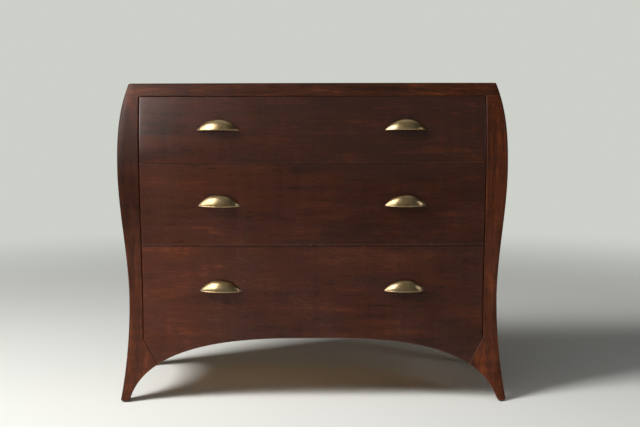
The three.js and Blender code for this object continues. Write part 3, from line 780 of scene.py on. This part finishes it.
def front_leg_ring(z):
    draw_in = leg_draw_in(z)
    inner = leg_inner(z) + draw_in
    outer = side_face(z) - draw_in
    back = FRONT_POST_BACK
    if z < SIDE_ARCH_HEIGHT:
        back = min(back, SIDE_ARCH_MIDDLE - arch_half(z, *SIDE_ARCH))
    back -= draw_in

    def front(x):
        return front_face(x, z) + draw_in

    along = spread(inner + POST_ARRIS, outer - CORNER_ARRIS, LEG_FRONT_STEPS)[1:-1]
    return (
        corner(inner, back, z, BACK_LEFT, JOINT_ARRIS, 2)
        + corner(inner, front(inner), z, FRONT_LEFT, POST_ARRIS)
        + [(x, front(x), z) for x in along]
        + corner(outer, front(outer), z, FRONT_RIGHT, CORNER_ARRIS)
        + corner(outer, back, z, BACK_RIGHT, JOINT_ARRIS, 2)
    )


def rear_leg_ring(z):
    draw_in = leg_draw_in(z)
    inner = HALF_OPENING
    if z < KNEE_LEVEL:
        inner = max(inner, leg_inner(z))
    inner += draw_in
    outer = side_face(z) - draw_in
    front = REAR_POST_FRONT
    if z < SIDE_ARCH_HEIGHT:
        front = max(front, SIDE_ARCH_MIDDLE + arch_half(z, *SIDE_ARCH))
    front += draw_in
    back = BACK - draw_in
    return (
        corner(inner, back, z, BACK_LEFT, JOINT_ARRIS, 2)
        + corner(inner, front, z, FRONT_LEFT, JOINT_ARRIS, 2)
        + corner(outer, front, z, FRONT_RIGHT, JOINT_ARRIS, 2)
        + corner(outer, back, z, BACK_RIGHT, TOP_ARRIS, 4)
    )


def side_panel_skin():
    """Right side panel, with its arched lower edge rounded and its other edges eased."""
    joint_round = round_steps(JOINT_ARRIS, 2)
    arch_round = round_steps(ARCH_ARRIS, 4)
    start = FRONT_POST_BACK + SEAT_GAP
    end = REAR_POST_FRONT - SEAT_GAP
    columns = (
        [(start + inward, fall) for inward, fall in joint_round]
        + [(y, 0) for y in spread(start + JOINT_ARRIS, end - JOINT_ARRIS, PANEL_STEPS_BACK)[1:-1]]
        + [(end - inward, fall) for inward, fall in reversed(joint_round)]
    )

    def sheet(face):
        rows_by_column = []
        for y, joint_fall in columns:
            foot = arch_level(y - SIDE_ARCH_MIDDLE, *SIDE_ARCH)
            rows = [(foot + inward, fall) for inward, fall in arch_round]
            rows += [(z, 0) for z in spread(foot + ARCH_ARRIS, LEG_TOP - JOINT_ARRIS, PANEL_STEPS_UP)[1:-1]]
            rows += [(LEG_TOP - inward, fall) for inward, fall in reversed(joint_round)]
            rows_by_column.append([(face(z, max(fall, joint_fall)), y, z) for z, fall in rows])
        return rows_by_column

    outer = sheet(lambda z, fall: side_face(z) - fall)
    inner = sheet(lambda z, fall: side_face(z) - SIDE_PANEL_THICKNESS)
    return slab(outer, inner)


def top_skin():
    """The top carries the profile of the case up through its own thick edge.

    Its lower arris is round over the drawers, and close over the posts that it joins.
    """
    lower = [(TOP_UNDERSIDE + inward, fall, 0) for inward, fall in round_steps(TOP_LOWER_ARRIS, 4)]
    between = spread(TOP_UNDERSIDE + TOP_LOWER_ARRIS, HEIGHT - TOP_ARRIS, TOP_STEPS_UP)
    middle = [(z, 0, 0) for z in between[1:-1]]
    upper = [(HEIGHT - inward, fall, fall) for inward, fall in reversed(round_steps(TOP_ARRIS, 5))]
    rings = []
    for z, drawn_in, side_drawn_in in lower + middle + upper:
        side = side_face(z) - side_drawn_in
        back = BACK - side_drawn_in / 3
        ends = spread(side - CORNER_ARRIS, HALF_OPENING, 4)[1:]
        ends += spread(HALF_OPENING, HALF_OPENING - TOP_BLEND, 3)[1:]
        along = [-x for x in ends] + spread(-ends[-1], ends[-1], TOP_STEPS_ACROSS)[1:-1] + ends[::-1]

        def front(x):
            over_post = min(max((abs(x) - HALF_OPENING + TOP_BLEND) / TOP_BLEND, 0), 1)
            return front_face(x, z) + drawn_in + (side_drawn_in - drawn_in) * over_post

        rings.append(
            corner(-side, back, z, BACK_LEFT, JOINT_ARRIS, 2)
            + corner(-side, front(side), z, FRONT_LEFT, CORNER_ARRIS)
            + [(x, front(x), z) for x in along]
            + corner(side, front(side), z, FRONT_RIGHT, CORNER_ARRIS)
            + corner(side, back, z, BACK_RIGHT, JOINT_ARRIS, 2)
        )
    return loft(rings)


def build_case():
    top_mesh = mesh_from("fine_top", top_skin())
    smooth(top_mesh)
    top_wood = top_mahogany("top mahogany", "across", TOP_BOARD, TOP_PAINTED_LIGHT_AND_SHADE)
    even_shading(add_piece("fine_top", top_mesh, top_wood, "case", ["top_panel"]))
    skins = {
        "front_leg": (loft([front_leg_ring(z) for z in LEG_LEVELS]), solid_mahogany, "mahogany_solid"),
        "rear_leg": (loft([rear_leg_ring(z) for z in LEG_LEVELS]), solid_mahogany, "mahogany_solid"),
        "side_panel": (side_panel_skin(), veneer, "mahogany_veneer"),
    }
    for kind, (skin, finish, slot) in skins.items():
        for side, sign in SIDES.items():
            node = f"{kind}_{side}"
            mesh = mesh_from("fine_" + node, skin if sign > 0 else mirrored(skin))
            smooth(mesh)
            # Painted light and shade go on the front legs only.
            painted_light_and_shade = LEG_PAINTED_LIGHT_AND_SHADE[side] if kind == "front_leg" else ()
            board = CASE_BOARDS[kind] + CASE_BOARD_STEP * sign
            material = finish(node.replace("_", " ") + " wood", "up", board, painted_light_and_shade)
            even_shading(add_piece("fine_" + node, mesh, material, "case", [node]))


# Drawers.

def drawer_tails(low, high, count):
    """Middle of each tail, with half its width at the shoulder and at its end."""
    pitch = (high - low) / count
    half = pitch * TAIL_WIDTH_SHARE / 2
    return [(low + pitch * (tail + 0.5), half - TAIL_FLARE, half) for tail in range(count)]


def socket_cutters(drawer):
    low, high = levels(f"drawer_{drawer}_side_right")
    tip = LINING_PLANE - LAP_LENGTH
    inner = FRONT_HALF - LINING_THICKNESS - SEAT_GAP
    cutters = []
    for middle, root, wide in drawer_tails(low, high, TAIL_COUNTS[drawer]):
        slope = (wide - root) / LAP_LENGTH
        mouth = root + TAIL_GAP - slope * OVERRUN
        end = wide + TAIL_GAP + slope * SEAT_GAP
        outline = [
            (tip - SEAT_GAP, middle - end),
            (LINING_PLANE + OVERRUN, middle - mouth),
            (LINING_PLANE + OVERRUN, middle + mouth),
            (tip - SEAT_GAP, middle + end),
        ]
        right = prism(outline, inner, FRONT_HALF + OVERRUN)
        cutters += [right, mirrored(right)]
    return cutters


def groove_cutter(drawer):
    low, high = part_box(f"drawer_{drawer}_bottom")
    return block(
        (low.x - SEAT_GAP, low.y - SEAT_GAP, low.z - SEAT_GAP),
        (high.x + SEAT_GAP, LINING_PLANE + OVERRUN, high.z + SEAT_GAP),
    )


def front_tip():
    """Where the arch of the lowest front meets the line of the bracket."""
    near, far = KNEE - 5 * FRONT_SIDE_GAP, KNEE
    halvings = 30
    for _ in range(halvings):
        middle = (near + far) / 2
        if arch_level(middle, *FRONT_ARCH) > bracket_level(middle):
            near = middle
        else:
            far = middle
    return far


def front_skin(drawer):
    """A drawer front: bowed and swelling outside, flat inside, with every outer edge rounded."""
    low, high = levels(f"drawer_{drawer}_front")
    is_lowest = drawer == "lower"
    edge_round = round_steps(FRONT_ARRIS, 4)
    half_columns = [(FRONT_HALF - inward, fall) for inward, fall in round_steps(FRONT_END_ARRIS, 7)]
    if is_lowest:
        half_columns += [(x, 0) for x in spread(half_columns[-1][0], front_tip(), BRACKET_STEPS)[1:]]
    half_columns += [(x, 0) for x in spread(half_columns[-1][0], 0, FRONT_STEPS_ACROSS)[1:]]
    columns = [(-x, fall) for x, fall in half_columns[:-1]] + list(reversed(half_columns))

    def rows_at(x):
        foot = lower_edge(x) if is_lowest else low
        aside = 1e-4
        slope = (lower_edge(abs(x) + aside) - lower_edge(abs(x) - aside)) / (2 * aside) if is_lowest else 0
        steepness = math.hypot(1, slope)
        lower = [(foot + inward * steepness, fall) for inward, fall in edge_round]
        middle = [(z, 0) for z in spread(lower[-1][0], high - FRONT_ARRIS, FRONT_STEPS_UP)[1:-1]]
        return lower + middle + [(high - inward, fall) for inward, fall in reversed(edge_round)]

    def sheet(face):
        return [
            [(x, face(x, z, max(fall, side_fall)), z) for z, fall in rows_at(x)]
            for x, side_fall in columns
        ]

    outer = sheet(lambda x, z, fall: front_face(x, z) + fall)
    inner = sheet(lambda x, z, fall: LINING_PLANE)
    return slab(outer, inner)


def pull_frame(drawer, sign):
    """Right, inward and up directions of a pull, and the point under its middle."""
    low, high = levels(f"drawer_{drawer}_front")
    foot = ARCH_HEIGHT if drawer == "lower" else low
    z = foot + (high - foot) * PULL_RISE_SHARES[drawer]
    x = sign * PULL_SPACING / 2

    def on(aside, up):
        return Vector((x + aside, front_face(x + aside, z + up), z + up))

    right = (on(PULL_WIDTH / 2, 0) - on(-PULL_WIDTH / 2, 0)).normalized()
    up = (on(0, PULL_HEIGHT / 2) - on(0, -PULL_HEIGHT / 2)).normalized()
    inward = up.cross(right).normalized()
    level = right.cross(inward)
    origin = on(0, 0) - inward * PULL_SEAT_GAP - level * PULL_HEIGHT / 2
    return right, inward, level, origin


def bowl(x):
    """The bowl of a pull at one place along it: its fullness, how far it stands out and how high it rises."""
    fullness = 1 - (x / (PULL_WIDTH / 2)) ** 2
    reach = (PULL_DEPTH + PULL_LIP) * fullness ** PULL_REACH_POWER
    rise = (PULL_HEIGHT - PULL_LIP_HEIGHT / 2) * fullness ** PULL_RISE_POWER
    return fullness, reach, rise


def pull_section(x):
    """The shell of a pull at one place along it: down its outside, round the lip and up its inside."""
    fullness, reach, rise = bowl(x)
    lip = PULL_LIP * min(1, fullness * PULL_LIP_TAPER)
    out = reach - lip
    wall = PULL_WALL * min(1, fullness * PULL_WALL_TAPER)
    bead = PULL_LIP_HEIGHT / 2
    bead_depth = min(bead, reach)
    turns = spread(0, math.pi / 2, PULL_BOWL_STEPS)
    outer = [
        (-out * math.cos(turn), max(rise * math.sin(turn), bead * (1 - turn)))
        for turn in reversed(turns)
    ]
    rounding = [
        (-reach + bead_depth * (1 - math.sin(turn)), bead * math.cos(turn))
        for turn in spread(0, math.pi, PULL_LIP_STEPS)
    ]
    inner = [
        (-(out - wall) * math.cos(turn), (rise - wall) * math.sin(turn) - bead * (1 - turn / (math.pi / 2)))
        for turn in turns
    ]
    return [(x, y, z) for y, z in outer + rounding + inner]


def pull_skin():
    turns = spread(-math.pi / 2, math.pi / 2, PULL_STEPS_ACROSS)
    places = [PULL_WIDTH / 2 * math.sin(turn * PULL_END_SHARE) for turn in turns]
    return loft([pull_section(x) for x in places])


def bowl_depth(x, level):
    """How far the outside of a pull stands out at one place."""
    _, reach, rise = bowl(x)
    return (reach - PULL_LIP) * math.sqrt(1 - (level / rise) ** 2)


def boss_skin():
    """A boss inside a pull that takes a screw, from the drawer front out into the wall of the bowl."""
    points, faces = turned([(PULL_BOSS_RADIUS, 0), (PULL_BOSS_RADIUS, 1)], BOSS_SIDES)
    placed = []
    for across, up, share in points:
        x = PULL_BOSS_SPACING / 2 + across
        z = PULL_BOSS_LEVEL + up
        placed.append((x, -share * (bowl_depth(x, z) - PULL_WALL / 2), z))
    return placed, faces


def join(skins):
    points, faces = [], []
    for skin_points, skin_faces in skins:
        start = len(points)
        points += skin_points
        faces += [tuple(start + place for place in face) for face in skin_faces]
    return points, faces


def screw_mesh():
    """A slotted pan head on its washer, standing up along Z."""
    profile = [
        (WASHER_RADIUS - SCREW_ARRIS, 0),
        (WASHER_RADIUS, SCREW_ARRIS),
        (WASHER_RADIUS, WASHER_THICKNESS - SCREW_ARRIS),
        (WASHER_RADIUS - SCREW_ARRIS, WASHER_THICKNESS),
    ]
    for turn in spread(0, SCREW_DOME_TURN, 7):
        radius = SCREW_HEAD_RADIUS * math.cos(turn) ** SCREW_DOME_POWER
        profile.append((radius, WASHER_THICKNESS + SCREW_HEAD_HEIGHT * math.sin(turn)))
    top = WASHER_THICKNESS + SCREW_HEAD_HEIGHT
    half = SCREW_SLOT_WIDTH / 2
    slot = block((-WASHER_RADIUS, -half, top - SCREW_SLOT_DEPTH), (WASHER_RADIUS, half, top + OVERRUN))
    mesh = cut(mesh_from("screw", turned(profile, SCREW_SIDES)), [slot])
    mesh.name = "screw"
    smooth(mesh)
    return mesh


def build_screws():
    """Two screws inside each drawer front behind each pull, driven from the back into its bosses."""
    mesh = screw_mesh()
    for drawer in DRAWERS:
        for side, sign in SIDES.items():
            right, inward, level, origin = pull_frame(drawer, sign)
            for end, end_sign in SIDES.items():
                boss = origin + right * (end_sign * PULL_BOSS_SPACING / 2) + level * PULL_BOSS_LEVEL
                place = boss + inward * ((LINING_PLANE - boss.y) / inward.y)
                slot_turn = place.x * SLOT_TURN_ACROSS + place.z * SLOT_TURN_UP
                turn = Matrix.Rotation(-math.pi / 2, 4, "X") @ Matrix.Rotation(slot_turn, 4, "Z")
                add_piece(f"screw_{drawer}_{side}_{end}", mesh, BRASS, f"drawer_{drawer}",
                          place=Matrix.Translation(place) @ turn)


def build_pulls():
    points, faces = join([pull_skin(), boss_skin(), mirrored(boss_skin())])
    for drawer in DRAWERS:
        for side, sign in SIDES.items():
            right, inward, level, origin = pull_frame(drawer, sign)
            node = f"drawer_{drawer}_pull_{side}"
            placed = [origin + right * x + inward * y + level * z for x, y, z in points]
            mesh = mesh_from("fine_" + node, (placed, faces))
            smooth(mesh, PULL_SMOOTH_ANGLE)
            add_piece("fine_" + node, mesh, BRASS, f"drawer_{drawer}", [node])


def build_drawers():
    for number, drawer in enumerate(DRAWERS):
        node = f"drawer_{drawer}_front"
        cutters = socket_cutters(drawer) + [groove_cutter(drawer)]
        mesh = cut(mesh_from("fine_" + node, front_skin(drawer)), cutters)
        smooth(mesh)
        low, high = levels(node)
        # Painted shade and light along the joints of this front, on top of its painted light from the left.
        at_top, at_bottom = JOINT_PAINTED_SHADE_AND_LIGHT[drawer]
        painted_light_and_shade = (
            *DRAWER_PAINTED_LIGHT_AND_SHADE[drawer],
            ("Z", high - JOINT_REACH, high, 1.0, at_top),
            ("Z", low, low + JOINT_REACH, at_bottom, 1.0),
        )
        material = veneer(f"{drawer} drawer veneer", "across", FRONT_BOARD + FRONT_BOARD_STEP * number, painted_light_and_shade)
        even_shading(add_piece("fine_" + node, mesh, material, f"drawer_{drawer}", [node]))
    build_pulls()
    build_screws()


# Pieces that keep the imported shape, with its sharp edges, and only get a finish.

def finish_node(node, material):
    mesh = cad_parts[node].data
    mesh.materials.clear()
    mesh.materials.append(material)
    mesh.shade_flat()


def finish_nodes():
    across = lining("lining across", "across", board=21.0)
    deep = lining("lining front to back", "back", board=23.5)
    finish_node("back_panel", back_plywood("back panel plywood", "across", board=31.0))
    hidden_red = solid_mahogany("rail mahogany", "across", board=41.0)
    for node in ("front_rail_top", *(f"rail_under_{drawer}_drawer" for drawer in DRAWERS)):
        finish_node(node, hidden_red)
    for node in ("rear_rail_top", "rear_rail_bottom"):
        finish_node(node, across)
    bottom = drawer_plywood("drawer bottom plywood", "across", board=51.0)
    for drawer in DRAWERS:
        finish_node(f"drawer_{drawer}_back", across)
        finish_node(f"drawer_{drawer}_bottom", bottom)
        for side in SIDES:
            finish_node(f"drawer_{drawer}_side_{side}", deep)
            finish_node(f"runner_{drawer}_{side}", deep)
    for side in SIDES:
        finish_node(f"kicker_{side}", deep)
        finish_node(f"front_glide_{side}", GLIDE)
        finish_node(f"rear_glide_{side}", GLIDE)


# The studio: floor, background, lamps and camera.

BACKDROP = rgb(205, 208, 201)
FLOOR_DARKER, FLOOR_LIGHTER = rgb(238, 239, 234), rgb(242, 243, 240)
FLOOR_RADIUS = 12.0
FLOOR_THICKNESS = 0.01
FLOOR_SIDES = 96
FLOOR_ROUGHNESS = 0.75
FLOOR_SPECULAR = 0.2
# Over which distances the floor fades into the backdrop, where it is seen and where it is mirrored.
SEEN_FADE = (1.3, 4.5)
MIRRORED_FADE = (0.5, 1.5)
MIRRORED_GLOW = 0.13
# The light of the backdrop: two places on its way round or up, and how strong it is at each.
LEFTWARD = (-0.8, -0.5, 0.0)
LIGHT_FROM_LEFT = (-0.8, 0.9, 0.01, 0.08)
LIGHT_FROM_ABOVE = (0.0, 0.7, 0.1, 1.0)
MIRRORED_BEHIND = (-0.6, 0.5, 0.32, 1.0)
MIRRORED_RIGHT = (0.2, 0.65, 1.0, 0.1)


def ray_kinds(nodes):
    """Whether a ray is one that the camera sees, and whether it is a mirrored one."""
    ray = nodes.add("ShaderNodeLightPath").outputs
    return nodes.math("MAXIMUM", ray["Is Camera Ray"], ray["Is Transmission Ray"]), ray["Is Glossy Ray"]


def build_floor():
    """A pale floor that fades into the backdrop."""
    rings = [(FLOOR_RADIUS, -FLOOR_THICKNESS), (FLOOR_RADIUS, 0.0)]
    mesh = mesh_from("studio_floor", turned(rings, FLOOR_SIDES))
    floor = new_object("studio_floor", mesh)
    material, nodes, shader = new_material("studio floor")
    place = nodes.add("ShaderNodeTexCoord").outputs["Object"]
    broad = use_group(nodes, UNEVEN, Place=place, Broad_Scale=1.2, Fine_Scale=14.0)["Broad"]
    nodes.feed(shader, "Base Color", nodes.mix(broad, FLOOR_DARKER, FLOOR_LIGHTER))
    nodes.feed(shader, "Roughness", FLOOR_ROUGHNESS)
    nodes.feed(shader, "Specular IOR Level", FLOOR_SPECULAR)
    distance = nodes.vector_math("LENGTH", place)
    seen, glossy = ray_kinds(nodes)
    fade = nodes.math("ADD", nodes.product(nodes.remap(distance, *SEEN_FADE), seen),
                      nodes.product(nodes.remap(distance, *MIRRORED_FADE), glossy))
    strength = nodes.remap(glossy, 0.0, 1.0, 1.0, MIRRORED_GLOW)
    glow = nodes.add("ShaderNodeEmission", Color=BACKDROP, Strength=strength)
    blend = nodes.fill(nodes.add("ShaderNodeMixShader"), (fade, shader.outputs[0], glow.outputs[0]))
    leave = next(node for node in nodes.tree.nodes if node.type == "OUTPUT_MATERIAL")
    nodes.feed(leave, "Surface", blend.outputs[0])
    mesh.materials.append(material)


def build_world():
    """The backdrop where it is seen.

    As light it is weak, and strongest from above and the left. As something mirrored in the finish it is
    dimmer towards the front and nearly dark on the right.
    """
    world = bpy.data.worlds.new("studio")
    bpy.context.scene.world = world
    nodes = clear_nodes(world)
    seen, glossy = ray_kinds(nodes)
    direction = nodes.add("ShaderNodeTexCoord").outputs["Generated"]
    parts = nodes.add("ShaderNodeSeparateXYZ", Vector=direction).outputs
    from_left = nodes.remap(nodes.vector_math("DOT_PRODUCT", direction, LEFTWARD), *LIGHT_FROM_LEFT)
    from_above = nodes.remap(parts["Z"], *LIGHT_FROM_ABOVE)
    from_behind = nodes.remap(parts["Y"], *MIRRORED_BEHIND)
    not_right = nodes.remap(parts["X"], *MIRRORED_RIGHT)
    soft = nodes.product(from_left, from_above, nodes.math("SUBTRACT", 1.0, glossy))
    mirrored_light = nodes.product(from_behind, not_right, glossy)
    unseen = nodes.product(nodes.math("ADD", soft, mirrored_light), nodes.math("SUBTRACT", 1.0, seen))
    glow = nodes.add("ShaderNodeBackground", Color=BACKDROP, Strength=nodes.math("ADD", unseen, seen))
    nodes.add("ShaderNodeOutputWorld", Surface=glow.outputs[0])


WHITE = (1.0, 1.0, 1.0)
DAYLIGHT = (1.0, 0.99, 0.97)
FLOOR_BOUNCE = (1.0, 0.98, 0.94)
WARM_BOUNCE = (1.0, 0.96, 0.9)


def add_lamp(name, place, aim, size, power, colour=WHITE):
    data = bpy.data.lights.new(name, "AREA")
    data.shape = "RECTANGLE"
    data.size, data.size_y = size
    data.energy = power
    data.color = colour
    lamp = new_object(name, data)
    lamp.location = place
    lamp.rotation_mode = "QUATERNION"
    lamp.rotation_quaternion = (Vector(aim) - Vector(place)).to_track_quat("-Z", "Y")
    lamp.visible_camera = False
    return lamp


def add_bounce(name, place, size, power, colour=WHITE):
    """A lamp just over the floor that faces straight up, for the light that a bright floor sends back."""
    return add_lamp(name, place, (place[0], place[1], 1.0), size, power, colour)


def build_lamps():
    """Daylight from high on the left is the key.

    The mirrored lamps show only in the finish, and the matt ones only light the surfaces.
    """
    mirrored = [
        add_lamp("key_sheen_lamp", (-2.6, -2.15, 2.7), (0.0, -0.2, 2.7), (3.2, 3.4), 190, DAYLIGHT),
        add_lamp("right_sheen_lamp", (2.6, -1.7, 1.2), (0.0, -0.2, 0.6), (0.3, 1.2), 4.5),
        add_bounce("floor_sheen_lamp", (-0.1, -0.6, 0.02), (1.8, 0.35), 1.5),
    ]
    matt = [
        add_lamp("key_lamp", (-3.44, -2.2, 3.93), (0.0, -0.2, 0.3), (1.6, 2.2), 262, DAYLIGHT),
        add_lamp("near_key_lamp", (-1.7, -0.9, 1.9), (-0.3, -0.2, 1.2), (0.8, 1.0), 14, DAYLIGHT),
        add_lamp("right_lamp", (2.6, -1.7, 1.4), (0.0, -0.2, 0.4), (0.4, 1.2), 8),
        add_bounce("front_bounce_lamp", (-0.6, -0.95, 0.01), (1.2, 0.8), 8, FLOOR_BOUNCE),
        add_bounce("right_bounce_lamp", (0.9, -0.95, 0.01), (0.6, 0.6), 4, WARM_BOUNCE),
        add_bounce("back_bounce_lamp", (0.2, 1.15, 0.01), (1.8, 0.9), 22),
        add_bounce("side_bounce_lamp", (1.35, 0.0, 0.01), (0.6, 1.4), 13),
        add_lamp("ceiling_lamp", (-0.3, -1.5, 3.2), (0.0, -0.7, 0.0), (2.6, 1.8), 16),
    ]
    for lamp in mirrored:
        lamp.visible_diffuse = False
    for lamp in matt:
        lamp.visible_glossy = False


CAMERA_PLACE = Vector((0.0180, -3.0252, 0.7973))
# How far the camera looks down, to the right and how far it leans.
CAMERA_PITCH = math.radians(5.286)
CAMERA_YAW = math.radians(0.048)
CAMERA_ROLL = math.radians(-0.135)
SENSOR_WIDTH = 36.0
IMAGE_WIDTH = 640
FOCAL_PIXELS = 1010.3


def build_camera():
    data = bpy.data.cameras.new("camera")
    data.sensor_width = SENSOR_WIDTH
    data.lens = FOCAL_PIXELS / IMAGE_WIDTH * SENSOR_WIDTH
    camera = new_object("camera", data)
    turn = Matrix.Rotation(-CAMERA_YAW, 4, "Z")
    turn @= Matrix.Rotation(math.pi / 2 - CAMERA_PITCH, 4, "X")
    turn @= Matrix.Rotation(CAMERA_ROLL, 4, "Z")
    camera.matrix_world = Matrix.Translation(CAMERA_PLACE) @ turn
    bpy.context.scene.camera = camera


build_case()
build_drawers()
finish_nodes()
build_floor()
build_world()
build_lamps()
build_camera()
bpy.context.scene.view_settings.view_transform = "Standard"
